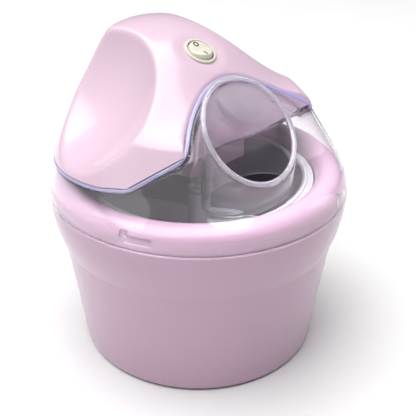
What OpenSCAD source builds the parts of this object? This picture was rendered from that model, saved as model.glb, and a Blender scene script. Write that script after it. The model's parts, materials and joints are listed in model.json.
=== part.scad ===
// Countertop ice cream maker: insulated bowl in a bucket, clear lid with a filling chute, motor head on top.
// Millimetres. Origin at the centre of the base, +Z up, the filling chute faces -Y.

/* [Bucket] */
// Height of the seam where the lid's skirt meets the bucket
seam_z = 121; // [110:1:150]
// Outer radius at the base
base_r = 88.5; // [78:0.5:90]
// Outer radius just below the lid's skirt
mouth_r = 106.5; // [104:0.5:110]
// Outer radius at the shoulder line
waist_r = 99; // [97:0.5:103]
// Height of the shoulder line
waist_z = 85; // [70:1:95]
// Wall of the moulded bucket
bucket_wall = 2.6; // [2:0.1:3.5]
// Ground clearance under the bucket floor
foot_gap = 1.6; // [1:0.1:3]

/* [Freezer bowl] */
// Inner radius of the metal liner at its mouth
liner_r = 75; // [66:0.5:77]
// Inner height of the liner
liner_depth = 100; // [80:1:103]
// Wall of the metal liner
liner_wall = 1.2; // [0.8:0.1:1.6]
// Outer radius of the bowl at its mouth
bowl_r = 83; // [81:0.1:83.3]
// Draft of the bowl's walls, radius lost from mouth to floor
bowl_draft = 4; // [2:0.5:6]

/* [Paddle] */
// Thickness of the paddle's plate
paddle_t = 3; // [2:0.25:4]
// Turned position of the paddle at rest, degrees from +X
paddle_angle = 116.7; // [0:0.1:180]
// Outer radius of the paddle's stem
stem_r = 7; // [6.5:0.25:9]
// Across flats of the spindle's hexagon
hex_af = 6.4; // [5:0.1:7]

/* [Lid] */
// Outer radius of the skirt
skirt_r = 107.3; // [107:0.1:112]
// Wall of the clear moulding
lid_wall = 2.6; // [2:0.1:3]
// Height of the shoulder's flat top over the seam
shoulder_h = 62; // [56:1:66]
// Lean of the lid's side wall from vertical, degrees
shoulder_lean = 29.7; // [27:0.1:32]
// Height of the deck in front of the chute, over the seam
deck_h = 21; // [20.5:0.5:25]
// Half length of the chute, front to back
chute_a = 24.6; // [20:0.2:25]
// Half width of the chute
chute_b = 39.5; // [34:0.5:42]
// Distance of the chute's centre in front of the axis
chute_f = 47.5; // [46:0.5:50]
// Tilt of the chute's mouth, degrees
chute_tilt = 51.4; // [48:0.2:54]
// Width of the lid's turn on its lock, degrees
lock_turn = 9; // [8:1:16]

/* [Head] */
// Radius of the head's curved back, seen from the side
hump_r = 94; // [92:0.5:98]
// Radius of the hump's crown, seen from the front
crown_r = 143; // [130:1:200]
// Wall of the head cover
cover_wall = 2.6; // [2:0.1:3]
// Diameter of each round scoop in the head's sides
scoop_d = 103.6; // [98:0.2:105]
// Depth of each scoop
scoop_depth = 15.8; // [13:0.2:16]

/* [Drive] */
// Gear module
gear_m = 1; // [0.9:0.05:1.05]
// Teeth of the output gear on the spindle
out_teeth = 32; // [28:1:32]
// Teeth of each idler's large gear
idler_teeth = 48; // [44:1:48]
// Teeth of each idler's small gear
small_teeth = 12; // [11:1:13]
// Teeth of the motor pinion
pinion_teeth = 10; // [10:1:12]
// Face width of the gears
gear_w = 6; // [5:0.5:6]
// Radius of the drive spindle
spindle_r = 4; // [3.5:0.1:5]
// Radius of the idler pins
pin_r = 2; // [1.5:0.1:2.5]
// Radius of the motor can
motor_r = 18; // [15:0.5:19]

/* [Switch] */
// Outer radius of the switch bezel
bezel_r = 11.5; // [11:0.25:13]
// Tip of the rocker each way from level, degrees
rocker_tip = 8; // [6:0.5:9]

/* [Hidden] */
$fn = 72;
// Gap between bodies that part or turn
gap = 0.3;
// Running clearance of a shaft in its bore, radial
run = 0.05;
// A cut runs this far past the face it opens
over = 1;
// Pressure angle of the gears
pressure = 25;
// Share of a module by which each tooth is thinned for backlash
thin = 0.08;
// Height of each gear layer over the seam, from the spindle up
layer_z = [46, 54, 62];
// Pitch circle distances between the shafts, and the bearings' heights
out_dist = gear_m * (out_teeth + small_teeth) / 2 + 0.05;
mid_dist = gear_m * (idler_teeth + small_teeth) / 2 + 0.05;
motor_dist = gear_m * (idler_teeth + pinion_teeth) / 2 + 0.05;
// Plan positions of the shafts: spindle on the axis, second idler, first idler, motor
second_pos = out_dist * [-sin(30), cos(30)];
motor_pos = [0, 66];
first_pos = meet(second_pos, mid_dist, motor_pos, motor_dist);
// Base of the head: lower edge planes, tub and boss
edge_h = 32.5;
edge_slope = 5.71;
cheek_h = 13.3;
cheek_slope = 40;
tub_left = 16;
tub_right = 40;
tub_front = 8;
tub_back = 50;
tub_h = 9;
floor_t = 2.5;
boss_r = 9;
boss_h = 5;
// Round of the head's dome: plan centre, height, radius and lean of the wall below it
dome_c = 18.9;
dome_h = 42.7;
dome_r = 74.1;
dome_lean = 13.5;
// Round at the top of the lid's shoulder: plan centre and radius
shoulder_c = 71.3;
shoulder_r = 10;
// Height of the chute's mouth on its axis, under the shoulder's top
mouth_drop = 9.4;
// Middle of the scoop's rim and the way that it faces
scoop_at = [66.1, 27.6, 66.4];
scoop_aim = [0.664, 0.15, 0.732];
// Notch in the head that wraps round the chute
notch_r = 83.5;
notch_f = 105;
// Gearbox levels over the seam
tray_h = 36.5;
tray_t = 3;
plate_h = 71;
plate_t = 2.5;
mount_h = 59;
mount_t = 2.5;
motor_h = 33;
// Screw sizes
screw_r = 1.5;
screw_head_r = 2.8;
screw_head_t = 1.8;
tray_posts = [[-11.5, -3.5], [35.5, -3.5], [-11.5, 40], [24, 12]];
plate_posts = [[30, 6], [-30, 46], [-30.5, -4]];
cover_posts = [[-62, 8], [62, 8], [-50, 62], [50, 62]];
post_r = 4;
// Height of the pads under the cover's posts, over the base's underside
pad_h = 5;
// Switch on the head's sloping front
switch_f = 2.5;
hump_back = 45;
hump_h = 17;
switch_lean = asin((switch_f + hump_back) / hump_r);
switch_sink = 2.2;
pivot_h = -1.8;
cup_depth = 5;
// Cord's inlet in the back of the head: inner face, height over the seam and hole
inlet_f = 89.5;
inlet_h = 42;
inlet_r = 5;
// Bowl heights
bowl_seat = 12;
bowl_top = seam_z + 6;
liner_floor = bowl_top - 1 - liner_depth;
liner_floor_r = liner_r - bowl_draft;
jacket_wall = 2.2;
pivot_r = 4;
pivot_l = 11;
// Collar tube: radius of its rounded top and centre of that round
collar_out = skirt_r - lid_wall - 2 * gap;
collar_in = bowl_r + 0.6;
collar_round = (collar_out - collar_in) / 2;
collar_mid = (collar_out + collar_in) / 2;
collar_wall = 3.2;
collar_round_h = 6;
lock_count = 4;
lock_start = -162.5;
lock_h = 6.5;
lug_r = 2.2;
// Depth of the lock's slots, and how far the lugs reach into them
slot_depth = 2;
lug_reach = 1.5;
foot_r = 8;
foot_ring = 68;

// ---------- helpers ----------

// Crossing of two circles, the one to the right of the line from a to b
function meet(a, ra, b, rb) =
    let (d = norm(b - a), u = (b - a) / d, s = (ra * ra - rb * rb + d * d) / (2 * d))
    a + u * s + [u[1], -u[0]] * sqrt(ra * ra - s * s);

function direction(a, b) = atan2(b[1] - a[1], b[0] - a[0]);

// Angle of an involute at radius r for base radius rb
function involute(r, rb) = let (a = acos(rb / r)) tan(a) * 180 / PI - a;

// Half angle of a tooth at radius r
function half_tooth(n, r) =
    let (rp = gear_m * n / 2, rb = rp * cos(pressure))
    (90 - thin * 90 / PI * 2) / n + involute(rp, rb) - involute(max(r, rb), rb);

module at_seam() { translate([0, 0, seam_z]) children(); }
module tube(r_out, r_in, h) {
    difference() {
        cylinder(r = r_out, h = h);
        translate([0, 0, -over]) cylinder(r = r_in, h = h + 2 * over);
    }
}
module at_each(places, h) { for (p = places) translate([p[0], p[1], h]) children(); }

// Spur gear with involute flanks, one tooth centred on the angle given
module gear(n, w, turn) {
    tip = gear_m * (n / 2 + 0.8);
    root = gear_m * (n / 2 - 1.05);
    base = max(root, gear_m * n / 2 * cos(pressure));
    levels = [for (i = [0:3]) base + (tip - base) * i / 3];
    flank = [for (r = levels) [r, half_tooth(n, r)]];
    tooth = concat([[root, half_tooth(n, base)]], flank);
    back = [for (i = [len(tooth) - 1:-1:0]) tooth[i]];
    points = [for (k = [0:n - 1]) each concat(
        [for (p = tooth) p[0] * [cos(turn + k * 360 / n - p[1]), sin(turn + k * 360 / n - p[1])]],
        [for (p = back) p[0] * [cos(turn + k * 360 / n + p[1]), sin(turn + k * 360 / n + p[1])]])];
    linear_extrude(w) polygon(points);
}

// Outline of a dome: a leaning straight wall that runs into a round, all inset by t
module dome_outline(cx, cz, r, lean, foot, t) {
    n = [cos(lean), sin(lean)];
    touch = [cx, cz] + (r - t) * n;
    foot_x = touch[0] + (touch[1] - foot) * tan(lean);
    intersection() {
        union() {
            translate([cx, cz]) circle(r - t);
            polygon([[0, foot], [foot_x, foot], touch, [cx, cz], [cx, cz + r - t], [0, cz + r - t]]);
        }
        translate([0, foot]) square([foot_x + over, cz + r - foot + over]);
    }
}

// Everything below a plane that tilts about X, its top through (y, z) and lowered by t
module below(y, z, tilt, half, t) {
    translate([0, y, z]) rotate([tilt, 0, 0]) translate([-half, -170, -220 - t]) cube([2 * half, 340, 220]);
}
module below_edge(t) { at_seam() below(0, edge_h, -edge_slope, 140, t); }
module below_cheek(t) { at_seam() below(0, cheek_h, -cheek_slope, 150, t); }
module below_mouth(t) { at_seam() below(-chute_f, mouth_h(), chute_tilt, 160, t); }
function mouth_h() = shoulder_h - mouth_drop;
// Underside of the head's base at a post
function base_low(p) = seam_z + edge_h - p[1] * tan(edge_slope) + gap;
module notch(r) { translate([0, -notch_f, 0]) cylinder(r = r, h = seam_z + 150, $fn = 120); }

// Oval prism, worked out from its two half axes
module oval(a, b, h) {
    linear_extrude(h) polygon([for (i = [0:63]) [b * cos(i * 360 / 64), a * sin(i * 360 / 64)]]);
}

// Side wall and round of the head, and of the lid's shoulder
module head_dome(t, foot) { at_seam() rotate_extrude() dome_outline(dome_c, dome_h, dome_r, dome_lean, foot, t); }
module shoulder_dome(t, foot) {
    cz = shoulder_h - shoulder_r;
    at_seam() rotate_extrude() intersection() {
        dome_outline(shoulder_c, cz, shoulder_r, shoulder_lean, foot, t);
        translate([0, foot]) square([skirt_r - t, shoulder_h + 20]);
    }
}
module hump(t) {
    half = 105;
    at_seam() translate([0, hump_back, hump_h]) rotate([0, 90, 0]) rotate_extrude() intersection() {
        translate([hump_r - crown_r, 0]) circle(crown_r - t, $fn = 160);
        translate([0, -half]) square([hump_r + over, 2 * half]);
    }
}
module scoops(t) {
    r = (pow(scoop_d / 2, 2) + pow(scoop_depth, 2)) / (2 * scoop_depth);
    for (side = [-1, 1]) {
        at = scoop_at + (r - scoop_depth) * scoop_aim;
        at_seam() translate([side * at[0], at[1], at[2]]) sphere(r + t, $fn = 110);
    }
}
module head_form(t) {
    foot = t > 0 ? -over : 0;
    difference() {
        union() {
            intersection() {
                hump(t);
                head_dome(t, foot);
            }
            shoulder_dome(t, foot);
        }
        notch(notch_r + gap + t);
        scoops(t);
    }
}
module lid_form(t, foot) {
    intersection() {
        shoulder_dome(t, foot);
        union() {
            at_seam() translate([-130, -130, -50]) cube([260, 260, 50 + deck_h - t]);
            intersection() {
                below_mouth(t);
                union() {
                    notch(notch_r - t);
                    below_edge(t);
                    below_cheek(t);
                }
            }
        }
    }
}
// Local frame of the switch: Z out of the sloping surface
module at_switch() {
    at_seam() translate([0, hump_back, hump_h]) rotate([switch_lean, 0, 0])
        translate([0, 0, hump_r - switch_sink]) children();
}
module screw(length) {
    cylinder(r = screw_r, h = length);
    translate([0, 0, -screw_head_t]) cylinder(r = screw_head_r, h = screw_head_t);
}

// ---------- bucket ----------

function bucket_low(u) = base_r + (waist_r - base_r) * (0.8 * u + 0.2 * u * u);
function bucket_high(u) = waist_r + (mouth_r - waist_r) * (2 * u - u * u);
function bucket_side(t) = concat(
    [for (i = [0:7]) [bucket_low(i / 7) - t, foot_gap + 3 + (waist_z - foot_gap - 3) * i / 7]],
    [for (i = [1:7]) [bucket_high(i / 7) - t, waist_z + (seam_z - waist_z) * i / 7]]);

module bucket() color([0.91, 0.8, 0.87]) {
    floor_in = base_r - bucket_wall - 3;
    difference() {
        union() {
            rotate_extrude() difference() {
                polygon(concat([[0, foot_gap], [base_r - 2.2, foot_gap], [base_r - 0.6, foot_gap + 1]],
                    bucket_side(0), [[0, seam_z]]));
                polygon(concat([[0, foot_gap + bucket_wall], [floor_in, foot_gap + bucket_wall]],
                    bucket_side(bucket_wall), [[mouth_r - bucket_wall, seam_z + over], [0, seam_z + over]]));
            }
            // Ledge under the collar
            translate([0, 0, seam_z - 12]) tube(mouth_r - bucket_wall - 0.6, 96, 2.6);
            // Ring the bowl stands on
            translate([0, 0, foot_gap + 1]) tube(62, 59.5, bowl_seat - foot_gap - 1);
        }
        for (a = [45:90:315]) rotate(a) translate([foot_ring, 0, 0]) {
            cylinder(r = 3 + run, h = 10);
            cylinder(r = foot_r + run, h = foot_gap + 1);
        }
    }
}
module rubber_feet() color([0.2, 0.2, 0.2]) {
    for (a = [45:90:315]) rotate(a) translate([foot_ring, 0, 0]) {
        cylinder(r = foot_r, h = foot_gap + 1);
        cylinder(r = 3, h = foot_gap + bucket_wall + 1);
        translate([0, 0, foot_gap + bucket_wall + 0.1]) cylinder(r1 = 4.2, r2 = 2.6, h = 3);
    }
}

// ---------- collar ----------

module collar() color([0.91, 0.8, 0.87]) {
    hollow = collar_round - collar_wall;
    difference() {
        at_seam() rotate_extrude() difference() {
            union() {
                translate([collar_mid, collar_round_h]) circle(collar_round);
                translate([collar_in, gap]) square([2 * collar_round, collar_round_h - gap]);
                translate([99.4, -9]) square([2.4, 12]);
                translate([collar_in, -9]) square([collar_wall, 12]);
            }
            translate([collar_mid, collar_round_h]) circle(hollow);
            translate([collar_in + collar_wall, 2.6]) square([2 * hollow, collar_round_h - 2.6]);
            translate([collar_in + collar_wall, -10]) square([99.4 - collar_in - collar_wall, 14]);
        }
        for (i = [0:lock_count - 1]) rotate(lock_start + i * 360 / lock_count) lock_slot();
    }
}
// Slot in the collar's side: a way in from above at its start, and a run to the side for the lug
module lock_slot() {
    start = -1.6;
    at_seam() {
        rotate(start) rotate_extrude(angle = lock_turn - 2 * start)
            translate([collar_out - slot_depth, lock_h - lug_r - 0.6]) square([slot_depth + over, 2 * lug_r + 1.2]);
        rotate(start) rotate_extrude(angle = -2 * start)
            translate([collar_out - slot_depth, lock_h - lug_r]) square([slot_depth + over, 20]);
    }
}

// ---------- freezer bowl ----------

module bowl_jacket() color([0.8, 0.8, 0.82]) {
    foot = bowl_seat + gap;
    low = bowl_r - bowl_draft - 1;
    rotate_extrude() difference() {
        polygon([[0, foot], [low - 4, foot], [low, foot + 4], [bowl_r, bowl_top - 1], [bowl_r - 0.6, bowl_top],
            [0, bowl_top]]);
        polygon([[0, foot + jacket_wall], [low - 5 - jacket_wall, foot + jacket_wall],
            [low - jacket_wall, foot + 5], [bowl_r - jacket_wall, bowl_top - 6], [bowl_r - jacket_wall, bowl_top - 4],
            [liner_r + liner_wall + 2.2, bowl_top - 4], [liner_r + liner_wall + 2.2, bowl_top + over],
            [0, bowl_top + over]]);
    }
}
module bowl_liner() color([0.36, 0.33, 0.37]) {
    corner = 6;
    out = liner_r + liner_wall;
    low = liner_floor_r + liner_wall;
    rotate_extrude() difference() {
        polygon([[0, liner_floor - liner_wall], [low - corner, liner_floor - liner_wall],
            [low - corner * 0.3, liner_floor - liner_wall + corner * 0.3], [low, liner_floor + corner],
            [out, bowl_top], [0, bowl_top]]);
        polygon([[0, liner_floor], [liner_floor_r - corner, liner_floor],
            [liner_floor_r - corner * 0.3, liner_floor + corner * 0.3], [liner_floor_r, liner_floor + corner],
            [liner_r, bowl_top + over], [0, bowl_top + over]]);
    }
    translate([0, 0, liner_floor - liner_wall / 2]) cylinder(r = pivot_r, h = pivot_l + liner_wall / 2);
}
module coolant_gel() color([0.55, 0.72, 0.85]) {
    s = 0.1;
    foot = bowl_seat + gap + jacket_wall + s;
    low = bowl_r - bowl_draft - 1 - jacket_wall - s;
    top = bowl_top - 14;
    rotate_extrude() difference() {
        polygon([[0, foot], [low - 6, foot], [low, foot + 4], [low + 3.4, top], [0, top]]);
        polygon([[0, liner_floor - liner_wall - s], [liner_floor_r + liner_wall + s, liner_floor - liner_wall - s],
            [liner_r + liner_wall + s, bowl_top], [0, bowl_top]]);
    }
}
module bowl_gasket() color([0.72, 0.72, 0.74]) {
    r_in = liner_r + liner_wall + 0.05;
    translate([0, 0, bowl_top - 4]) rotate_extrude() polygon([[r_in, 0], [r_in + 2.1, 0],
        [r_in + 2.1, 4.6], [r_in + 1.5, 5.2], [r_in + 0.6, 5.2], [r_in, 4.6]]);
}

// ---------- paddle ----------

module paddle() color([0.85, 0.85, 0.88, 0.8]) {
    foot = liner_floor + 2.5;
    bar_top = seam_z - 22;
    bar_h = 16;
    reach = liner_floor_r - 2;
    blade = 11;
    tube_top = seam_z - 11;
    top = seam_z + 3;
    difference() {
        union() {
            rotate([0, 0, paddle_angle]) rotate([90, 0, 0]) translate([0, 0, -paddle_t / 2])
                linear_extrude(paddle_t) difference() {
                    translate([-reach, foot]) square([2 * reach, bar_top - foot]);
                    for (side = [0, 1]) mirror([side, 0]) translate([stem_r + 3, foot + 8])
                        square([reach - blade - stem_r - 3, bar_top - bar_h - foot - 8]);
                    for (side = [0, 1]) mirror([side, 0]) polygon([[reach - 6, foot - over],
                        [reach + over, foot - over], [reach + over, foot + 8], [reach, foot + 8]]);
                }
            translate([0, 0, foot - 1]) cylinder(r = stem_r, h = tube_top - foot + 1);
            translate([0, 0, tube_top]) cylinder(r = 5.4, h = top - tube_top);
            for (h = [3, 7, 11]) translate([0, 0, tube_top + h]) cylinder(r = 6.3, h = 1.6);
            rotate(paddle_angle + 60) translate([4.3, -1.5, top - 6.4]) cube([4.5, 3, 3]);
        }
        translate([0, 0, foot - over]) cylinder(r = pivot_r + run, h = pivot_l + over);
        translate([0, 0, tube_top - 5]) cylinder(r = (hex_af / 2 + 0.15) / cos(30), h = 40, $fn = 6);
    }
}

// ---------- lid ----------

module clear_lid() color([0.85, 0.9, 0.95, 0.35]) {
    wall = 2.5;
    difference() {
        union() {
            difference() {
                lid_form(0, 0);
                lid_form(lid_wall, -over);
            }
            intersection() {
                at_seam() translate([0, -chute_f, 5.5]) oval(chute_a, chute_b, 100);
                below_mouth(0);
            }
            for (i = [0:lock_count - 1]) rotate(lock_start + i * 360 / lock_count)
                at_seam() translate([collar_out - lug_reach, 0, lock_h]) rotate([0, 90, 0])
                    cylinder(r = lug_r, h = skirt_r - 1.5 - collar_out + lug_reach);
        }
        at_seam() translate([0, -chute_f, -over]) oval(chute_a - wall, chute_b - wall, 130);
        at_seam() translate([-tub_left - 1.5, -tub_front - 1.5, -over])
            cube([tub_left + tub_right + 3, tub_front + tub_back + 3, 60]);
    }
}

// ---------- head housing ----------

module head_cover() color([0.91, 0.8, 0.87]) {
    difference() {
        union() {
            difference() {
                head_form(0);
                head_form(cover_wall);
            }
            intersection() {
                head_form(cover_wall / 2);
                union() {
                    for (p = cover_posts) at_each([p], base_low(p) + pad_h) cylinder(r = post_r, h = 90);
                    at_switch() translate([0, 0, -2.5]) cylinder(r = bezel_r + 3, h = 6);
                }
            }
        }
        below_edge(-gap);
        below_cheek(-gap);
        for (p = cover_posts) at_each([p], base_low(p)) cylinder(r = screw_r + run, h = 16.5);
        at_switch() cylinder(r = bezel_r + 1.5, h = 10);
        at_switch() translate([0, 0, -30]) cylinder(r = bezel_r - 1, h = 40);
        at_seam() translate([0, inlet_f - 5, inlet_h]) rotate([-90, 0, 0]) cylinder(r = inlet_r + run, h = 30);
    }
}
module head_base() color([0.91, 0.8, 0.87]) {
    difference() {
        union() {
            difference() {
                intersection() {
                    shoulder_dome(cover_wall + 0.15, 1);
                    below_edge(-gap - floor_t);
                }
                notch(notch_r + gap + cover_wall + 0.15);
                below_edge(-gap);
                below_cheek(-gap);
                at_seam() tub_block(1, 60);
            }
            difference() {
                at_seam() tub_block(0, edge_h - tub_h - 2);
                at_seam() translate([0, 0, floor_t]) tub_block(floor_t, 60);
            }
            at_seam() tub_rim();
            at_seam() translate([0, 0, boss_h]) cylinder(r = boss_r, h = 18);
            at_each(tray_posts, seam_z + tub_h + 1) cylinder(r = post_r, h = tray_h - tub_h - 1);
            for (p = cover_posts) at_each([p], base_low(p) + 1) cylinder(r = post_r + 1.5, h = pad_h - 1);
        }
        at_seam() translate([0, 0, -over]) cylinder(r = spindle_r + 2.5, h = 40);
        at_each(tray_posts, seam_z + tub_h + 5) cylinder(r = screw_r + run, h = 40);
        for (p = cover_posts) at_each([p], base_low(p) - 8) {
            cylinder(r = screw_r + run, h = 60);
            cylinder(r = screw_head_r + 0.4, h = 8.6 + screw_head_t);
        }
    }
}
// The tub that hangs through the lid's opening, inset by t
module tub_block(t, h) {
    translate([-tub_left + t, -tub_front + t, tub_h])
        cube([tub_left + tub_right - 2 * t, tub_front + tub_back - 2 * t, h]);
}
module tub_rim() {
    difference() {
        translate([-tub_left, -tub_front, tub_h + 12]) cube([tub_left + tub_right, tub_front + tub_back, 16]);
        translate([0, 0, -over]) tub_block(floor_t, 60);
        translate([0, 0, -seam_z]) difference() {
            translate([-100, -100, seam_z]) cube([200, 200, 90]);
            below_edge(-gap - floor_t);
        }
    }
}
module cover_screws() color("silver") {
    for (p = cover_posts) at_each([p], base_low(p) + 0.6 + screw_head_t) screw(14);
}

// ---------- gearbox ----------

module gearbox_case() color([0.92, 0.92, 0.9]) {
    difference() {
        union() {
            at_seam() translate([-36, -10, tray_h + gap / 3]) cube([77, 62, tray_t - gap / 3]);
            at_seam() translate([0, 0, tray_h + tray_t]) cylinder(r = boss_r, h = 6);
            at_each(plate_posts, seam_z + tray_h + 1) cylinder(r = post_r, h = plate_h - tray_h - 1);
            at_seam() translate([-22, motor_pos[1] - motor_r - 3, tray_h + 1])
                cube([18, 2.5, mount_h + mount_t - tray_h - 1]);
            at_seam() translate([0, motor_pos[1], mount_h]) cylinder(r = 21, h = mount_t);
        }
        at_seam() translate([0, 0, tray_h - over]) cylinder(r = spindle_r + 2.5, h = 20);
        at_each(tray_posts, seam_z + tray_h - over) cylinder(r = screw_r + run, h = 10);
        at_each(plate_posts, seam_z + plate_h - 12) cylinder(r = screw_r + run, h = 20);
        at_each([first_pos, second_pos], seam_z + tray_h + 0.6) cylinder(r = pin_r, h = 10);
        at_each([motor_pos], seam_z + mount_h - over) cylinder(r = 5.5, h = 10);
        at_each(motor_holes(), seam_z + mount_h - over) cylinder(r = screw_r + run, h = 10);
        // Room for the motor behind the tray
        at_seam() translate([motor_pos[0], motor_pos[1], 0]) cylinder(r = motor_r + 0.4, h = mount_h);
    }
}
function motor_holes() = [for (s = [-1, 1]) motor_pos + [s * 11, 4]];
module case_screws() color("silver") {
    at_each(tray_posts, seam_z + tray_h + tray_t) mirror([0, 0, 1]) screw(14);
}
module gearbox_plate() color("silver") {
    at_seam() difference() {
        translate([-34.5, -9, plate_h + gap / 3]) cube([69, 60, plate_t - gap / 3]);
        at_each(plate_posts, plate_h - over) cylinder(r = screw_r + run, h = 10);
        at_each([first_pos, second_pos], plate_h - over) cylinder(r = pin_r, h = 10);
    }
}
module plate_screws() color("silver") {
    at_each(plate_posts, seam_z + plate_h + plate_t) mirror([0, 0, 1]) screw(10);
}
module idler_pins() color("silver") {
    at_each([first_pos, second_pos], seam_z + tray_h + 0.6)
        cylinder(r = pin_r, h = plate_h + plate_t - tray_h - 0.6);
}
module bush(h, length) color([0.7, 0.55, 0.3]) {
    at_seam() translate([0, 0, h]) tube(spindle_r + 2.5, spindle_r + run, length);
}
module lower_bush() bush(boss_h, 12);
module upper_bush() bush(tray_h + tray_t, 6);

// ---------- motor ----------

module motor_can() color([0.75, 0.75, 0.77]) {
    at_each([motor_pos], seam_z) difference() {
        translate([0, 0, motor_h]) cylinder(r = motor_r, h = mount_h - motor_h - 0.1);
        translate([0, 0, motor_h - over]) cylinder(r = motor_r - 1.2, h = mount_h - motor_h - 1.2 + over);
        cylinder(r = 2.2, h = 90);
        for (s = [-1, 1]) translate([s * 11, 4, 0]) cylinder(r = screw_r + run, h = 90);
    }
}
module motor_magnets() color([0.25, 0.25, 0.27]) {
    at_each([motor_pos], seam_z + motor_h + 4) for (s = [0, 180]) rotate(s - 55)
        rotate_extrude(angle = 110) translate([motor_r - 4, 0]) square([2.7, mount_h - motor_h - 10]);
}
module motor_end_cap() color([0.15, 0.15, 0.15]) {
    at_each([motor_pos], seam_z + motor_h) difference() {
        union() {
            translate([0, 0, -1.6]) cylinder(r = motor_r, h = 1.6);
            cylinder(r = motor_r - 1.25, h = 2);
        }
        translate([0, 0, -0.6]) cylinder(r = 1.6 + run, h = 10);
    }
}
module motor_screws() color("silver") {
    at_each(motor_holes(), seam_z + mount_h + mount_t) mirror([0, 0, 1]) scale(0.86) screw(5);
}
module motor_shaft() color("silver") {
    at_each([motor_pos], seam_z + motor_h - 0.4) cylinder(r = 1.6, h = layer_z[2] + gear_w + 1 - motor_h);
}
module motor_armature() color([0.6, 0.35, 0.2]) {
    core_r = motor_r - 4.8;
    core_h = mount_h - motor_h - 10;
    at_each([motor_pos], seam_z + motor_h + 4) difference() {
        cylinder(r = core_r, h = core_h);
        translate([0, 0, -over]) cylinder(r = 1.62, h = 60);
        for (a = [0:120:240]) rotate(a) {
            translate([core_r * 0.62, 0, -over]) cylinder(r = core_r * 0.22, h = 60);
            translate([core_r * 0.62, -0.8, -over]) cube([core_r, 1.6, 60]);
        }
    }
}

// ---------- gears ----------

out_turn = direction([0, 0], second_pos);
mid_turn = direction(second_pos, first_pos);
motor_turn = direction(first_pos, motor_pos);

module with_bore(r) {
    difference() {
        children();
        translate([0, 0, -over]) cylinder(r = r, h = 60);
    }
}
module output_gear() color([0.95, 0.95, 0.92]) {
    at_each([[0, 0]], seam_z + layer_z[0]) with_bore(spindle_r + 0.02) gear(out_teeth, gear_w, out_turn);
}
module second_idler() color([0.95, 0.95, 0.92]) {
    at_each([second_pos], seam_z + layer_z[0]) with_bore(pin_r + run) {
        gear(small_teeth, layer_z[1] - layer_z[0] + 1, out_turn + 180 + 180 / small_teeth);
        translate([0, 0, layer_z[1] - layer_z[0]]) gear(idler_teeth, gear_w, mid_turn);
    }
}
module first_idler() color([0.95, 0.95, 0.92]) {
    at_each([first_pos], seam_z + layer_z[1]) with_bore(pin_r + run) {
        gear(small_teeth, layer_z[2] - layer_z[1] + 1, mid_turn + 180 + 180 / small_teeth);
        translate([0, 0, layer_z[2] - layer_z[1]]) gear(idler_teeth, gear_w, motor_turn);
    }
}
module motor_pinion() color([0.8, 0.65, 0.35]) {
    at_each([motor_pos], seam_z + layer_z[2]) with_bore(1.62)
        gear(pinion_teeth, gear_w + 1, motor_turn + 180 + 180 / pinion_teeth);
}
module drive_spindle() color("silver") {
    low = -12;
    at_seam() translate([0, 0, low]) cylinder(r = hex_af / 2 / cos(30), h = boss_h - low - 1, $fn = 6);
    at_seam() translate([0, 0, boss_h - 2]) cylinder(r = spindle_r, h = layer_z[0] + gear_w + 1 - boss_h + 2);
}

// ---------- switch and inlet ----------

module switch_bezel() color([0.83, 0.81, 0.76]) {
    at_switch() rotate_extrude() difference() {
        union() {
            translate([bezel_r - 2, 0]) square([2, 0.9]);
            translate([bezel_r - 0.9, 0.9]) circle(0.9);
            translate([bezel_r - 2, 0]) square([1.1, 1.8]);
        }
        translate([0, -5]) square([40, 5]);
    }
}
module switch_body() color([0.15, 0.15, 0.15]) {
    r_in = bezel_r - 2;
    at_switch() difference() {
        union() {
            translate([0, 0, -cup_depth]) cylinder(r = bezel_r - 1.2, h = cup_depth - 0.05);
            translate([-6.5, -7, -cup_depth - 10]) cube([13, 14, 10.5]);
        }
        translate([0, 0, 0.6 - cup_depth]) cylinder(r = r_in, h = cup_depth);
        translate([0, 0, pivot_h]) rotate([0, 90, 0]) cylinder(r = 1.2 + run, h = 40, center = true);
    }
}
module switch_terminals() color([0.8, 0.7, 0.4]) {
    at_switch() for (y = [-4, 4]) translate([-3.15, y - 0.4, -cup_depth - 18]) cube([6.3, 0.8, 8]);
}
module switch_rocker() color([0.83, 0.81, 0.76]) {
    r = bezel_r - 2.3;
    at_switch() translate([0, 0, pivot_h]) rotate([-rocker_tip, 0, 0]) {
        intersection() {
            sphere(r);
            rotate([90, 0, 90]) translate([0, 0, -r]) linear_extrude(2 * r)
                polygon([[-r, -0.9], [r, -0.9], [r, 5.3], [0, 3.9], [-r, 5.3]]);
        }
        rotate([0, 90, 0]) cylinder(r = 1.2, h = 2 * (r + 0.7), center = true);
    }
}
module cord_grommet() color([0.9, 0.9, 0.9]) {
    at_seam() translate([0, inlet_f, inlet_h]) rotate([-90, 0, 0]) difference() {
        union() {
            cylinder(r = 6.5, h = 1.4);
            cylinder(r = inlet_r, h = 9);
            translate([0, 0, 7.6]) cylinder(r1 = 6.6, r2 = 5.6, h = 3);
        }
        translate([0, 0, -over]) cylinder(r = 3.2, h = 20);
    }
}

bucket();
rubber_feet();
collar();
bowl_jacket();
bowl_liner();
coolant_gel();
bowl_gasket();
paddle();
clear_lid();
head_cover();
head_base();
cover_screws();
gearbox_case();
case_screws();
gearbox_plate();
plate_screws();
idler_pins();
lower_bush();
upper_bush();
motor_can();
motor_magnets();
motor_end_cap();
motor_screws();
motor_shaft();
motor_armature();
motor_pinion();
first_idler();
second_idler();
output_gear();
drive_spindle();
switch_bezel();
switch_body();
switch_terminals();
switch_rocker();
cord_grommet();
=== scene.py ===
"""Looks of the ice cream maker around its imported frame: smooth housings, a clear lid and procedural plastics."""
import json
import math

import bmesh
import bpy
import numpy as np
from mathutils import Matrix, Vector


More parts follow.
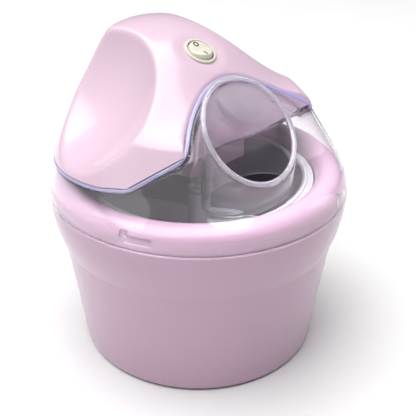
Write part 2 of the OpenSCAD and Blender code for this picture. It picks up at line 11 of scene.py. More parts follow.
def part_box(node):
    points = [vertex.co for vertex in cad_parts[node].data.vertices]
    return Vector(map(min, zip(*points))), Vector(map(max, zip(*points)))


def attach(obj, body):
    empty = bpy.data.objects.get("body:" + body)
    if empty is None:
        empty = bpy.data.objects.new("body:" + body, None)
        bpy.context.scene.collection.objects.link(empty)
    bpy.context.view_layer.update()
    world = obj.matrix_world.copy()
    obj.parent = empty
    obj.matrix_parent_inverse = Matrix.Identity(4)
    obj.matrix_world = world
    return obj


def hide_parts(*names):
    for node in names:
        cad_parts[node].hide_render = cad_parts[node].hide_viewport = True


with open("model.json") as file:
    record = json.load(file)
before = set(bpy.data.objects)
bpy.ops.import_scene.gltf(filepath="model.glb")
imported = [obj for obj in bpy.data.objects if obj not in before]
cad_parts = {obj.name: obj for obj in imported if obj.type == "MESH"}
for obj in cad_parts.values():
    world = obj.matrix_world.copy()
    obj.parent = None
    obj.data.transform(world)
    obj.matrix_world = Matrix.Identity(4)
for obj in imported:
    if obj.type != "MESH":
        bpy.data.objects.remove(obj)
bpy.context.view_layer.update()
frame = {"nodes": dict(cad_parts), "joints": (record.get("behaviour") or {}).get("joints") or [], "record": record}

MM = 0.001
NODES = frame["nodes"]


def low_mm(node):
    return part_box(node)[0] / MM


def high_mm(node):
    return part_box(node)[1] / MM


# ---------- sizes in millimetres, heights over the lid's seam where marked (s) ----------

SEAM = low_mm("clear_lid").z
SKIRT_R = high_mm("clear_lid").x
LID_WALL = 2.6
LID_FOOT = 0.2            # s, the lid stands this clear of the bucket's rim
COVER_WALL = 2.6
GAP = 0.3
HUMP_R = 94.0
CROWN_R = 125.3
HUMP_Y = 45.0
HUMP_Z = 17.0            # s
DOME = (4.57, 60.1, 77.45, math.radians(9.73))
SHOULDER = (71.3, 52.0, 10.0, math.radians(29.7))
NOTCH_Y = -105.0
NOTCH_R = 83.5
EDGE = (0.0, 32.5, math.radians(-5.71))
CHEEK = (0.0, 13.3, math.radians(-40.0))
MOUTH = (-47.5, 52.6, math.radians(51.4))
DECK = 21.0              # s
SCOOP_AT = np.array([66.1, 27.6, 66.4])
SCOOP_AIM = np.array([0.664, 0.15, 0.732])
SCOOP_DEPTH = 15.8
SCOOP_R = (51.8 ** 2 + SCOOP_DEPTH ** 2) / (2 * SCOOP_DEPTH)
CHUTE_A = 24.6
CHUTE_B = 39.5
CHUTE_Y = -47.5
CHUTE_FOOT = 5.5         # s
SWITCH_LEAN = math.asin(47.5 / HUMP_R)
SWITCH_HOLE_R = 10.3
DISH_R = 17.5
DISH_DEPTH = 2.6
GROMMET_HOLE_R = 5.4
TUB_X = (-17.5, 41.5)     # the opening in the lid's deck for the tub under the head
TUB_Y = (-9.5, 51.5)
CHUTE_WALL = 2.6
CHUTE_RIM_R = 1.8
LID_EDGE_R = 1.35
LUG_TURN = -162.5         # degrees, the first of four lugs
LUG_H = 6.5               # s
LUG_R = 2.2
LUG_TIP_R = 1.5
LUG_SPAN = (102.6, 103.1, 105.6)   # from the axis: tip, end of the tip's slope, root in the skirt
HEAD_STAR = np.array([0.0, 30.0, 40.0])   # s, the head's skin is seen whole from here
LID_STAR = np.array([0.0, -45.0, 6.0])    # s, the same for the lid's

# Node, body, material slot and width of the rounding on its edges
SOFTENED = [("collar", "collar", "pink_plastic", 0.5), ("paddle", "paddle", "frosted_plastic", 0.7),
            ("head_base", "head", "pink_plastic", 0.5), ("switch_bezel", "head", "cream_plastic", 0.3),
            ("switch_rocker", "rocker", "cream_plastic", 0.35)]


# ---------- mesh helpers ----------

def new_object(name, verts, faces, smooth=True):
    """A mesh object from points in millimetres over the ground."""
    mesh = bpy.data.meshes.new(name)
    mesh.from_pydata([tuple(v) for v in np.asarray(verts, float) * MM], [], faces)
    mesh.validate()
    mesh.update()
    if smooth:
        mesh.shade_smooth()
    obj = bpy.data.objects.new(name, mesh)
    bpy.context.scene.collection.objects.link(obj)
    return obj


def apply_modifiers(obj):
    depsgraph = bpy.context.evaluated_depsgraph_get()
    mesh = bpy.data.meshes.new_from_object(obj.evaluated_get(depsgraph))
    old = obj.data
    obj.modifiers.clear()
    obj.data = mesh
    bpy.data.meshes.remove(old)
    return obj


def outward(obj):
    """Makes a closed mesh's normals point out."""
    bm = bmesh.new()
    bm.from_mesh(obj.data)
    bmesh.ops.recalc_face_normals(bm, faces=bm.faces)
    bm.to_mesh(obj.data)
    bm.free()
    return obj


def sharpen(obj, degrees):
    """Smooth shading that breaks at edges steeper than the angle given."""
    obj.data.shade_smooth()
    obj.data.set_sharp_from_angle(angle=math.radians(degrees))
    return obj


def grid_faces(rows, columns, wrap=True, offset=0):
    faces = []
    last = columns if wrap else columns - 1
    for i in range(rows - 1):
        for j in range(last):
            k = (j + 1) % columns
            faces.append((offset + i * columns + j, offset + (i + 1) * columns + j,
                          offset + (i + 1) * columns + k, offset + i * columns + k))
    return faces


# ---------- smooth solids as distance functions, heights over the seam ----------

def smax(a, b, k):
    """Intersection of two solids with a round of about k across."""
    h = np.clip(0.5 + 0.5 * (a - b) / k, 0, 1)
    return b * (1 - h) + a * h + k * h * (1 - h)


def smin(a, b, k):
    """Union of two solids with a fillet of about k across."""
    return -smax(-a, -b, k)


def dome(p, shape, t):
    """A wall that leans in and runs into a round, turned about Z, inset by t."""
    cx, cz, r, lean = shape
    r = r - t
    radius = np.hypot(p[..., 0], p[..., 1])
    x, z = radius - cx, p[..., 2] - cz
    wall = x * math.cos(lean) + z * math.sin(lean) - r
    round_ = np.hypot(x, z) - r
    angle = np.arctan2(z, x)
    out = np.where(angle > lean, round_, wall)
    return np.where((x < 0) & (z > 0), z - r, out)


def hump(p, t):
    x = np.clip(p[..., 0], -130, 130)
    radius = HUMP_R - CROWN_R + np.sqrt(CROWN_R ** 2 - x ** 2) - t
    return np.hypot(p[..., 1] - HUMP_Y, p[..., 2] - HUMP_Z) - radius


def plane(p, shape, t):
    """Below a plane tilted about X through (y, z), lowered by t."""
    y, z, tilt = shape
    return -(p[..., 1] - y) * math.sin(tilt) + (p[..., 2] - z) * math.cos(tilt) + t


def notch(p, t):
    return np.hypot(p[..., 0], p[..., 1] - NOTCH_Y) - NOTCH_R + t


def scoops(p, t):
    """Distance outside the two big spheres that scoop the head's sides."""
    q = np.stack([np.abs(p[..., 0]), p[..., 1], p[..., 2]], -1)
    centre = SCOOP_AT + (SCOOP_R - SCOOP_DEPTH) * SCOOP_AIM
    return np.linalg.norm(q - centre, axis=-1) - SCOOP_R - t


def switch_dish(p):
    """A shallow round hollow for the switch on the sloping ridge."""
    r = (DISH_R ** 2 + DISH_DEPTH ** 2) / (2 * DISH_DEPTH)
    aim = np.array([0.0, -math.sin(SWITCH_LEAN), math.cos(SWITCH_LEAN)])
    centre = np.array([0.0, HUMP_Y, HUMP_Z]) + aim * (HUMP_R - DISH_DEPTH + r)
    return np.linalg.norm(p - centre, axis=-1) - r


def body_form(p, t):
    """The head and lid's common outer shape, before the scoops and the parting."""
    top = smax(hump(p, t), dome(p, DOME, t), 2)
    return smin(top, dome(p, SHOULDER, t), 29)


def head_form(p):
    form = smax(body_form(p, 0), -scoops(p, 0), 3.5)
    form = smax(form, -switch_dish(p), 3.0)
    return smax(form, -notch(p, -GAP), 2.2)


def lid_outer(p, t):
    skirt = np.hypot(p[..., 0], p[..., 1]) - SKIRT_R + t
    return smax(body_form(p, t), skirt, 7)


def lid_inside(p, t):
    rear = smin(plane(p, EDGE, t), plane(p, CHEEK, t), 6)
    return smin(smin(notch(p, t), rear, 3), p[..., 2] - DECK + t, 8)


def lid_slope(p, t):
    return smin(plane(p, MOUTH, t), p[..., 2] - DECK + t, 10)


def lid_form(p, t):
    return smax(smax(lid_outer(p, t), lid_inside(p, t), 3), lid_slope(p, t), 8)


def solve(form, centre, azimuth, polar, reach=190.0, coarse=72, fine=26):
    """Where rays from the centre leave the form: walks out, then halves the interval."""
    d = np.stack([np.sin(polar) * np.cos(azimuth), np.sin(polar) * np.sin(azimuth), np.cos(polar)], -1)
    low = np.zeros(polar.shape)
    high = np.full(polar.shape, reach)
    done = np.zeros(polar.shape, bool)
    for step in range(1, coarse + 1):
        s = reach * step / coarse
        hit = (form(centre + d * s) > 0) & ~done
        high = np.where(hit, s, high)
        low = np.where(~done & ~hit, s, low)
        done |= hit
    for _ in range(fine):
        middle = (low + high) / 2
        out = form(centre + d * middle[..., None]) > 0
        high = np.where(out, middle, high)
        low = np.where(out, low, middle)
    return centre + d * ((low + high) / 2)[..., None]


def polar_at_edge(form, edge, centre, azimuth):
    """The polar angle, for each azimuth, at which the form's surface meets the lower edge."""
    low = np.full(azimuth.shape, math.radians(20.0))
    high = np.full(azimuth.shape, math.radians(150.0))
    for _ in range(22):
        middle = (low + high) / 2
        above = edge(solve(form, centre, azimuth, middle)) > 0
        low = np.where(above, middle, low)
        high = np.where(above, high, middle)
    return (low + high) / 2


def crease(outer, inside, centre, azimuth, limit):
    """The polar angle, for each azimuth, at which the inside form gives way to the outer one."""
    low = np.full(azimuth.shape, math.radians(2.0))
    high = limit.copy()
    for _ in range(20):
        middle = (low + high) / 2
        gap = (np.linalg.norm(solve(inside, centre, azimuth, middle) - centre, axis=-1)
               - np.linalg.norm(solve(outer, centre, azimuth, middle) - centre, axis=-1))
        low = np.where(gap < 0, middle, low)
        high = np.where(gap < 0, high, middle)
    return (low + high) / 2


def skin(form, edge, centre, rows, columns, pair=None):
    """A grid of points on the form, from straight up to the lower edge all round, its rows close at the crease."""
    azimuth = np.arange(columns) * 2 * math.pi / columns + 0.3 * 2 * math.pi / columns
    limit = polar_at_edge(form, edge, centre, azimuth)
    if pair is None:
        share = np.linspace(0, 1, rows)[:, None]
        share[0] = 0.002
        polar = limit[None, :] * share
    else:
        turn = np.clip(crease(*pair, centre, azimuth, limit), 0.1 * limit, 0.85 * limit)
        radius = np.linalg.norm(solve(form, centre, azimuth, turn) - centre, axis=-1)
        half = np.minimum(3.6 / radius, np.minimum(turn, limit - turn) * 0.5)
        upper, band = rows // 2, rows // 4
        lower = rows - upper - band
        top = np.linspace(0, 1, upper, endpoint=False)[:, None] * (turn - half)[None, :]
        top[0] = 0.002
        middle = (turn - half)[None, :] + np.linspace(0, 1, band, endpoint=False)[:, None] * (2 * half)[None, :]
        start = (turn + half)[None, :]
        bottom = start + np.linspace(0, 1, lower)[:, None] * (limit[None, :] - start)
        polar = np.vstack([top, middle, bottom])
    return solve(form, centre, np.broadcast_to(azimuth, polar.shape), polar)


def skin_faces(rows, columns, offset, flip):
    faces = grid_faces(rows, columns, True, offset)
    faces.append(tuple(offset + j for j in range(columns)))
    return [tuple(reversed(f)) for f in faces] if flip else faces


def raised(points):
    return points.reshape(-1, 3) + np.array([0, 0, SEAM])


# ---------- housings ----------

def cut_round(bm, centre, axis, radius):
    """Deletes the faces within a radius of a line, on the side that the axis points to."""
    axis = axis.normalized()
    gone = []
    for f in bm.faces:
        v = f.calc_center_median() / MM - centre
        along = v.dot(axis)
        if along > 0 and (v - axis * along).length < radius:
            gone.append(f)
    bmesh.ops.delete(bm, geom=gone, context="FACES")


def make_head_cover():
    rows, columns = ((150, 480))
    points = skin(head_form, head_edge, HEAD_STAR, rows, columns,
                  (lambda p: -notch(p, -GAP), lambda p: body_form(p, 0)))
    obj = new_object("head_cover_shell", raised(points), skin_faces(rows, columns, 0, False))
    bm = bmesh.new()
    bm.from_mesh(obj.data)
    bmesh.ops.recalc_face_normals(bm, faces=bm.faces)
    lean = Vector((0, -math.sin(SWITCH_LEAN), math.cos(SWITCH_LEAN)))
    cut_round(bm, Vector((0, HUMP_Y, HUMP_Z + SEAM)), lean, SWITCH_HOLE_R)
    grommet = (low_mm("cord_grommet") + high_mm("cord_grommet")) / 2
    cut_round(bm, Vector((grommet.x, 0, grommet.z)), Vector((0, 1, 0)), GROMMET_HOLE_R)
    bm.to_mesh(obj.data)
    bm.free()
    thick = obj.modifiers.new("wall", "SOLIDIFY")
    thick.thickness = COVER_WALL * MM
    thick.offset = -1
    bevel = obj.modifiers.new("edges", "BEVEL")
    bevel.width = 0.6 * MM
    bevel.segments = 2
    bevel.limit_method = "ANGLE"
    bevel.angle_limit = math.radians(60)
    apply_modifiers(obj)
    sharpen(obj, 50)
    return obj


def oval(angle, grow=0.0):
    """Points of the chute's oval, grown along its normal."""
    x, y = CHUTE_B * np.cos(angle), CHUTE_A * np.sin(angle)
    nx, ny = CHUTE_A * np.cos(angle), CHUTE_B * np.sin(angle)
    size = np.hypot(nx, ny)
    return np.c_[x + nx / size * grow, y + ny / size * grow + CHUTE_Y]


def mouth_height(y):
    return MOUTH[1] + (y - MOUTH[0]) * math.tan(MOUTH[2])


def prism(name, grow, low, high, steps=192):
    angle = np.arange(steps) * 2 * math.pi / steps
    ring = oval(angle, grow)
    verts = np.vstack([np.c_[ring, np.full(steps, low)], np.c_[ring, np.full(steps, high)]])
    verts[:, 2] += SEAM
    faces = grid_faces(2, steps) + [tuple(range(steps))[::-1], tuple(range(steps, 2 * steps))]
    return outward(new_object(name, verts, faces))


def bead_loop(name, middle, one, two, size, steps=12):
    """A closed bead of round section along a loop; one and two are across it."""
    columns = len(middle)
    verts = raised(np.stack([middle + (one * math.cos(a) + two * math.sin(a)) * size
                             for a in np.arange(steps) * 2 * math.pi / steps], 1))
    faces = [(i * steps + j, ((i + 1) % columns) * steps + j, ((i + 1) % columns) * steps + (j + 1) % steps,
              i * steps + (j + 1) % steps) for i in range(columns) for j in range(steps)]
    return outward(new_object(name, verts, faces))


def make_chute(steps=256):
    """The chute's wall: a smooth tube with a rounded foot, closed by the bead round its slanted mouth."""
    angle = np.arange(steps) * 2 * math.pi / steps
    rows = []
    middle = -CHUTE_WALL / 2

    def at_mouth(grow, lift):
        ring = oval(angle, grow)
        return np.c_[ring, mouth_height(ring[:, 1]) + lift]

    def at_foot(grow, lift):
        ring = oval(angle, grow)
        return np.c_[ring, np.full(steps, CHUTE_FOOT + lift)]
    inner_top, inner_foot = at_mouth(-CHUTE_WALL, 0), at_foot(-CHUTE_WALL, 1.2)
    rows += [inner_top + (inner_foot - inner_top) * s for s in np.linspace(0, 1, 12)]
    for a in np.linspace(200, 340, 7):
        c, s = math.cos(math.radians(a)), math.sin(math.radians(a))
        rows.append(at_foot(middle + CHUTE_WALL / 2 * c, 0.9 + 0.9 * s))
    outer_foot, outer_top = at_foot(0, 1.2), at_mouth(0, 0)
    rows += [outer_foot + (outer_top - outer_foot) * s for s in np.linspace(0, 1, 12)]
    verts = np.vstack(rows)
    verts[:, 2] += SEAM
    n = len(rows)
    faces = grid_faces(n, steps)
    faces += [((n - 1) * steps + j, j, (j + 1) % steps, (n - 1) * steps + (j + 1) % steps) for j in range(steps)]
    return outward(new_object("lid_chute", verts, faces))


def make_chute_rim(steps=256):
    """The rounded bead along the chute's slanted mouth."""
    angle = np.arange(steps) * 2 * math.pi / steps
    ring, outer = oval(angle, -CHUTE_WALL / 2), oval(angle, 0.0)
    middle = np.c_[ring, mouth_height(ring[:, 1]) + 0.3]
    across = np.c_[outer - ring, mouth_height(outer[:, 1]) - mouth_height(ring[:, 1])]
    across /= np.linalg.norm(across, axis=1)[:, None]
    along = np.roll(middle, -1, 0) - np.roll(middle, 1, 0)
    along /= np.linalg.norm(along, axis=1)[:, None]
    return bead_loop("lid_chute_rim", middle, across, np.cross(along, across), CHUTE_RIM_R, 16)


def make_lid():
    rows, columns = ((190, 480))

    def edge(p):
        return p[..., 2] - LID_FOOT

    def side(t):
        return skin(lambda p: lid_form(p, t), edge, LID_STAR, rows, columns,
                    (lambda p: lid_outer(p, t), lambda p: np.maximum(lid_inside(p, t), lid_slope(p, t))))
    outer, inner = side(0), side(LID_WALL)
    count = rows * columns
    verts = np.vstack([raised(outer), raised(inner)])
    faces = skin_faces(rows, columns, 0, False) + skin_faces(rows, columns, count, True)
    last = (rows - 1) * columns
    faces += [(last + j, count + last + j, count + last + (j + 1) % columns, last + (j + 1) % columns)
              for j in range(columns)]
    obj = outward(new_object("lid_shell", verts, faces))
    cutter = prism("chute_cutter", -0.05, CHUTE_FOOT + 4, 140)
    cut = obj.modifiers.new("chute", "BOOLEAN")
    cut.operation = "DIFFERENCE"
    cut.solver = "EXACT"
    cut.object = cutter
    tub = tub_cutter()
    cut_tub = obj.modifiers.new("tub", "BOOLEAN")
    cut_tub.operation = "DIFFERENCE"
    cut_tub.solver = "EXACT"
    cut_tub.object = tub
    apply_modifiers(obj)
    for o in (cutter, tub):
        bpy.data.objects.remove(o)
    sharpen(obj, 40)
    return obj


def head_edge(p):
    return np.minimum(plane(p, EDGE, -GAP), plane(p, CHEEK, -GAP))


def head_border(columns):
    """The loop on the outside of the machine along which the head's cover ends, seen from the top as it is met."""
    azimuth = (np.arange(columns) + 0.3) * 2 * math.pi / columns
    limit = polar_at_edge(head_form, head_edge, HEAD_STAR, azimuth)
    turn = crease(lambda p: -notch(p, -GAP), lambda p: body_form(p, 0), HEAD_STAR, azimuth, limit)
    return solve(lambda p: body_form(p, 0), HEAD_STAR, azimuth, turn)


def make_lid_bead(columns=480, steps=12):
    """The lid's own edge where it meets the head: a bead that runs all round the head's border."""
    line = head_border(columns)
    for _ in range(6):
        line = (np.roll(line, 1, 0) + 2 * line + np.roll(line, -1, 0)) / 4
    tiny = 0.05
    steep = np.stack([body_form(line + tiny * e, 0) - body_form(line - tiny * e, 0) for e in np.eye(3)], -1)
    steep /= np.linalg.norm(steep, axis=-1)[:, None]
    along = np.roll(line, -1, 0) - np.roll(line, 1, 0)
    along /= np.linalg.norm(along, axis=-1)[:, None]
    away = np.cross(along, steep)
    if away[:, 2].mean() > 0:
        away = -away
    middle = line + away * (LID_EDGE_R + GAP) - steep * LID_EDGE_R
    return bead_loop("lid_edge", middle, steep, away, LID_EDGE_R, steps)


def tub_cutter():
    """The opening in the lid's deck for the tub under the head."""
    (left, right), (front, back) = TUB_X, TUB_Y
    verts = [(x, y, SEAM + z) for z in (-3, 60)
             for x, y in ((left, front), (right, front), (right, back), (left, back))]
    faces = [(3, 2, 1, 0), (4, 5, 6, 7), (0, 1, 5, 4), (1, 2, 6, 5), (2, 3, 7, 6), (3, 0, 4, 7)]
    return outward(new_object("tub_cutter", verts, faces, smooth=False))


def softened(node, width, degrees=35, segments=2):
    """A copy of a CAD node with its sharp edges rounded."""
    mesh = NODES[node].data.copy()
    obj = bpy.data.objects.new(node + "_soft", mesh)
    bpy.context.scene.collection.objects.link(obj)
    bm = bmesh.new()
    bm.from_mesh(mesh)
    bmesh.ops.remove_doubles(bm, verts=bm.verts, dist=2e-6)
    bmesh.ops.dissolve_limit(bm, angle_limit=math.radians(0.4), verts=bm.verts, edges=bm.edges)
    bm.to_mesh(mesh)
    bm.free()
    bevel = obj.modifiers.new("edges", "BEVEL")
    bevel.width = width * MM
    bevel.segments = segments
    bevel.limit_method = "ANGLE"
    bevel.angle_limit = math.radians(degrees)
    bevel.use_clamp_overlap = True
    apply_modifiers(obj)
    return sharpen(obj, 50)


def make_lugs():
    """Round pins inside the lid's skirt that reach into the collar's lock pockets."""
    verts, faces = [], []
    tip, shoulder, root = LUG_SPAN
    profile = [(0.0, tip), (LUG_TIP_R, tip), (LUG_R, shoulder), (LUG_R, root)]
    steps = 20
    for i in range(4):
        turn = math.radians(LUG_TURN + 90 * i)
        out = np.array([math.cos(turn), math.sin(turn), 0])
        side = np.array([-math.sin(turn), math.cos(turn), 0])
        first = len(verts)
        for r, along in profile:
            for a in np.arange(steps) * 2 * math.pi / steps:
                lift = np.array([0, 0, SEAM + LUG_H + r * math.sin(a)])
                verts.append(out * along + side * r * math.cos(a) + lift)
        faces += grid_faces(len(profile), steps, True, first)
        faces.append(tuple(first + (len(profile) - 1) * steps + j for j in range(steps)))
    obj = new_object("lid_lugs", verts, faces)
    bm = bmesh.new()
    bm.from_mesh(obj.data)
    bmesh.ops.remove_doubles(bm, verts=bm.verts, dist=1e-6)
    bmesh.ops.recalc_face_normals(bm, faces=bm.faces)
    bm.to_mesh(obj.data)
    bm.free()
    return sharpen(obj, 40)


def rocker_frame():
    """Places things on the rocker's top: from its pivot's frame to the row frame."""
    joint = next(j for j in frame["joints"] if j["name"] == "rocker_tip")
    place = Vector(joint["pos_m"])
    return Matrix.Translation(place) @ Matrix.Rotation(SWITCH_LEAN - math.radians(8), 4, "X")


def make_mark(name, ring):
    """A thin ring or bar let into the top of one half of the rocker."""
    slope = math.atan2(1.4, 9.2)
    if ring:
        outline = [(1.35, 0), (2.0, 0), (2.1, 0.14), (2.0, 0.22), (1.35, 0.22), (1.25, 0.14)]
        steps = 40
        verts = [(r * math.cos(a), r * math.sin(a), z - 0.02) for r, z in outline
                 for a in np.arange(steps) * 2 * math.pi / steps]
        faces = grid_faces(len(outline), steps)
        n = len(outline)
        faces += [((n - 1) * steps + j, j, (j + 1) % steps, (n - 1) * steps + (j + 1) % steps) for j in range(steps)]
        y, tilt = 5.0, slope
    else:
        verts = [(x * w, yy * h, z - 0.02) for z, w, h in ((0, 0.42, 1.9), (0.16, 0.42, 1.9), (0.22, 0.34, 1.8))
                 for x, yy in ((-1, -1), (1, -1), (1, 1), (-1, 1))]
        faces = grid_faces(3, 4) + [(3, 2, 1, 0), (8, 9, 10, 11)]
        y, tilt = -5.0, -slope
    obj = outward(new_object(name, verts, faces, smooth=ring))
    height = 3.9 + 1.4 * abs(y) / 9.2
    local = Matrix.Translation(Vector((0, y, height)) * MM) @ Matrix.Rotation(tilt, 4, "X")
    obj.data.transform(rocker_frame() @ local)
    return obj


# ---------- materials ----------

class Nodes:
    """A short way to build a material's node tree."""

    def __init__(self, name):
        self.material = bpy.data.materials.new(name)
        self.material.use_nodes = True
        self.tree = self.material.node_tree
        self.tree.nodes.clear()
        self.out = self.add("ShaderNodeOutputMaterial")

    def add(self, kind, **inputs):
        node = self.tree.nodes.new(kind)
        for key, value in inputs.items():
            self.put(node, key, value)
        return node

    def put(self, node, key, value):
        socket = node.inputs[key.replace("_", " ")]
        if isinstance(value, bpy.types.NodeSocket):
            self.tree.links.new(value, socket)
        else:
            socket.default_value = value


def linear(r, g, b):
    """An sRGB colour of 0 to 255 as linear values."""
    return tuple(c / 255 / 12.92 if c <= 10 else ((c / 255 + 0.055) / 1.055) ** 2.4 for c in (r, g, b)) + (1,)


def moulded(name, colour, roughness, grain=0.15, scale=900.0, coat=0.0, subsurface=0.0, mottle=0.03, metallic=0.0):
    """Moulded plastic or plain metal: faint colour drift, uneven gloss and a fine texture in its surface."""
    n = Nodes(name)
    place = n.add("ShaderNodeTexCoord")
    drift = n.add("ShaderNodeTexNoise", Vector=place.outputs["Object"], Scale=14.0, Detail=3.0)
    shade = n.add("ShaderNodeMix")
    shade.data_type = "RGBA"
    n.tree.links.new(drift.outputs["Fac"], shade.inputs["Factor"])
    dark = tuple(c * (1 - mottle) for c in colour[:3]) + (1,)
    bright = tuple(min(1, c * (1 + mottle)) for c in colour[:3]) + (1,)
    shade.inputs[6].default_value = dark
    shade.inputs[7].default_value = bright
    smear = n.add("ShaderNodeTexNoise", Vector=place.outputs["Object"], Scale=35.0, Detail=4.0)
    gloss = n.add("ShaderNodeMapRange", Value=smear.outputs["Fac"])
    gloss.inputs["To Min"].default_value = roughness * 0.85
    gloss.inputs["To Max"].default_value = roughness * 1.15
    fine = n.add("ShaderNodeTexNoise", Vector=place.outputs["Object"], Scale=scale, Detail=2.0)
    bump = n.add("ShaderNodeBump", Height=fine.outputs["Fac"], Strength=grain, Distance=0.00008)
    shader = n.add("ShaderNodeBsdfPrincipled", Base_Color=shade.outputs[2], Roughness=gloss.outputs["Result"],
                   Normal=bump.outputs["Normal"], Metallic=metallic, Coat_Weight=coat, Coat_Roughness=0.08,
                   Subsurface_Weight=subsurface, Subsurface_Scale=0.004)
    n.put(n.out, "Surface", shader.outputs["BSDF"])
    return n.material


def clear(name, colour, roughness, ior=1.49, coat=0.0, body=1.0):
    """Clear plastic that lets lamps through, so what is behind it is lit; below 1, body makes its edges milky."""
    n = Nodes(name)
    place = n.add("ShaderNodeTexCoord")
    haze = n.add("ShaderNodeTexNoise", Vector=place.outputs["Object"], Scale=25.0, Detail=3.0)
    gloss = n.add("ShaderNodeMapRange", Value=haze.outputs["Fac"])
    gloss.inputs["To Min"].default_value = roughness * 0.6
    gloss.inputs["To Max"].default_value = roughness * 1.4
    wave = n.add("ShaderNodeTexNoise", Vector=place.outputs["Object"], Scale=18.0, Detail=1.0)
    bump = n.add("ShaderNodeBump", Height=wave.outputs["Fac"], Strength=0.05, Distance=0.0005)
    glass = n.add("ShaderNodeBsdfPrincipled", Base_Color=colour, Roughness=gloss.outputs["Result"], IOR=ior,
                  Transmission_Weight=body, Normal=bump.outputs["Normal"], Coat_Weight=coat, Coat_Roughness=0.03)
    through = n.add("ShaderNodeBsdfTransparent", Color=tuple(c ** 0.5 for c in colour[:3]) + (1,))
    path = n.add("ShaderNodeLightPath")
    mix = n.add("ShaderNodeMixShader", Fac=path.outputs["Is Shadow Ray"])
    n.tree.links.new(glass.outputs["BSDF"], mix.inputs[1])
    n.tree.links.new(through.outputs["BSDF"], mix.inputs[2])
    n.put(n.out, "Surface", mix.outputs["Shader"])
    return n.material


PINK = moulded("pink_plastic", linear(216, 189, 206), 0.24, grain=0.1, coat=0.3, subsurface=0.0)
CLEAR = clear("clear_plastic", (0.975, 0.965, 0.985, 1), 0.02, ior=1.12, coat=1.0, body=0.965)
CHUTE_GLASS = clear("clear_plastic_chute", (0.97, 0.96, 0.99, 1), 0.02, ior=1.16, coat=1.0, body=0.95)
EDGE_GLASS = clear("clear_plastic_edge", (0.70, 0.68, 0.94, 1), 0.05, ior=1.3, coat=1.0, body=0.6)
RIM_GLASS = clear("clear_plastic_rim", (0.93, 0.90, 0.97, 1), 0.05, ior=1.3, coat=1.0, body=0.8)
# A darker copy of the head's pink for the bucket and collar: painted shade for their sides, which get less light
# than the head's top. It is the same plastic as the head, not a deeper pink one.
PAINTED_SHADE_PINK = moulded("pink_plastic_painted_shade", linear(190, 158, 180), 0.24, grain=0.1, coat=0.3)
CREAM = moulded("cream_plastic", linear(214, 210, 196), 0.35, grain=0.2)
GREY = moulded("grey_plastic", linear(190, 186, 192), 0.4, grain=0.2)
BOWL = moulded("bowl_coating", linear(150, 142, 152), 0.38, grain=0.25, scale=1400.0, metallic=0.25)
FROST = moulded("frosted_plastic", linear(196, 190, 200), 0.3, grain=0.1, subsurface=0.3)
BLACK = moulded("black_plastic", linear(40, 40, 42), 0.5, grain=0.3)
NYLON = moulded("nylon", linear(232, 230, 222), 0.45)
STEEL = moulded("steel", linear(190, 190, 192), 0.3, metallic=1.0)
BRONZE = moulded("bronze", linear(184, 150, 96), 0.4, metallic=1.0)
COPPER = moulded("copper_winding", linear(170, 96, 60), 0.4, metallic=0.8)
FERRITE = moulded("ferrite", linear(60, 60, 64), 0.6)
GEL = moulded("gel", linear(190, 215, 235), 0.25)
RUBBER = moulded("rubber", linear(48, 48, 50), 0.8, grain=0.5)
SEAL = moulded("seal_rubber", linear(196, 196, 200), 0.6, grain=0.4)
BY_SLOT = {"pink_plastic": PINK, "clear_plastic": CLEAR, "cream_plastic": CREAM, "grey_plastic": GREY,
           "bowl_metal": BOWL, "frosted_plastic": FROST, "black_plastic": BLACK, "nylon": NYLON, "steel": STEEL,
           "bronze": BRONZE, "copper_winding": COPPER, "ferrite": FERRITE, "gel": GEL, "rubber": RUBBER,
           "seal_rubber": SEAL}


# The bucket and collar take the darker pink: painted shade on their sides.
BY_NODE = {"bucket": PAINTED_SHADE_PINK, "collar": PAINTED_SHADE_PINK}


def dress_nodes():
    """Gives every CAD node the procedural material of its slot; the bucket and collar get the darker copy of the
    pink, which is painted shade.
    """
    for entry in frame["record"]["subparts"]:
        obj = NODES[entry["node"]]
        obj.data.materials.clear()
        obj.data.materials.append(BY_NODE.get(entry["node"], BY_SLOT[entry["material_slot"]]))


def dress(obj, material, body, slot, *replaced):
    obj.data.materials.clear()
    obj.data.materials.append(material)
    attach(obj, body)
    if replaced:
        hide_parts(*replaced)


# ---------- stage ----------

def make_camera():
    azimuth, height, distance = math.radians(-46.0), math.radians(26.9), 0.55
    data = bpy.data.cameras.new("camera")
    data.sensor_width = 36.0
    data.lens = 755 / 416 * 36.0
    data.shift_x = 9.6 / 416
    data.shift_y = -28.5 / 416
    cam = bpy.data.objects.new("camera", data)
    bpy.context.scene.collection.objects.link(cam)
    aim = Vector((0, 0, SEAM * MM))
    away = Vector((math.sin(azimuth) * math.cos(height), -math.cos(azimuth) * math.cos(height), math.sin(height)))
    cam.location = aim + away * distance
    cam.rotation_euler = (-away).to_track_quat("-Z", "Y").to_euler()
    bpy.context.scene.camera = cam


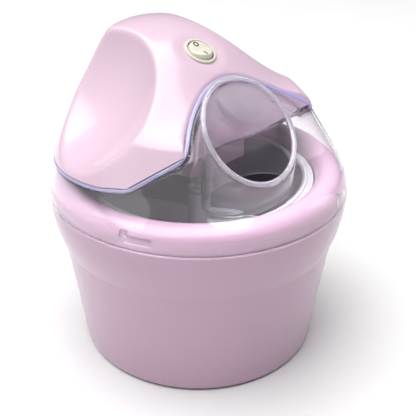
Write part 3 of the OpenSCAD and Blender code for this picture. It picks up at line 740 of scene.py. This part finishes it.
def area_light(name, place, aim, size, power, colour=(1, 1, 1)):
    data = bpy.data.lights.new(name, "AREA")
    data.shape = "RECTANGLE"
    data.size, data.size_y = size
    data.energy = power
    data.color = colour
    obj = bpy.data.objects.new(name, data)
    bpy.context.scene.collection.objects.link(obj)
    obj.location = place
    obj.rotation_euler = (Vector(aim) - Vector(place)).to_track_quat("-Z", "Y").to_euler()


def make_stage():
    floor = new_object("floor", [(-9000, -9000, 0), (9000, -9000, 0), (9000, 9000, 0), (-9000, 9000, 0)],
                       [(0, 1, 2, 3)], smooth=False)
    floor.data.materials.append(moulded("floor_paper", linear(232, 232, 232), 0.9, grain=0.05, scale=300.0))
    world = bpy.data.worlds.new("studio")
    world.use_nodes = True
    world.node_tree.nodes["Background"].inputs["Color"].default_value = (1, 1, 1, 1)
    world.node_tree.nodes["Background"].inputs["Strength"].default_value = 0.14
    bpy.context.scene.world = world
    bpy.context.scene.view_settings.view_transform = "Standard"
    area_light("overhead", (-0.45, 0.25, 2.8), (0, 0, 0), (3.4, 3.4), 155)
    area_light("left", (-1.3, 0.1, 0.7), (0, 0, 0.14), (0.5, 0.9), 1.4)
    area_light("right", (1.2, -0.7, 0.6), (0, 0, 0.14), (0.4, 0.9), 1.2)


dress_nodes()
make_camera()
make_stage()
head = make_head_cover()
dress(head, PINK, "head", "pink_plastic", "head_cover")
lid = make_lid()
dress(lid, CLEAR, "lid", "clear_plastic", "clear_lid")
dress(make_chute(), CHUTE_GLASS, "lid", "clear_plastic", "clear_lid")
dress(make_chute_rim(), RIM_GLASS, "lid", "clear_plastic", "clear_lid")
dress(make_lid_bead(), EDGE_GLASS, "lid", "clear_plastic", "clear_lid")
dress(make_lugs(), CLEAR, "lid", "clear_plastic", "clear_lid")
for node, body, slot_name, width in SOFTENED:
    dress(softened(node, width), BY_NODE.get(node, BY_SLOT[slot_name]), body, slot_name, node)
dress(make_mark("switch_mark_off", True), BLACK, "rocker", "black_plastic")
dress(make_mark("switch_mark_on", False), BLACK, "rocker", "black_plastic")
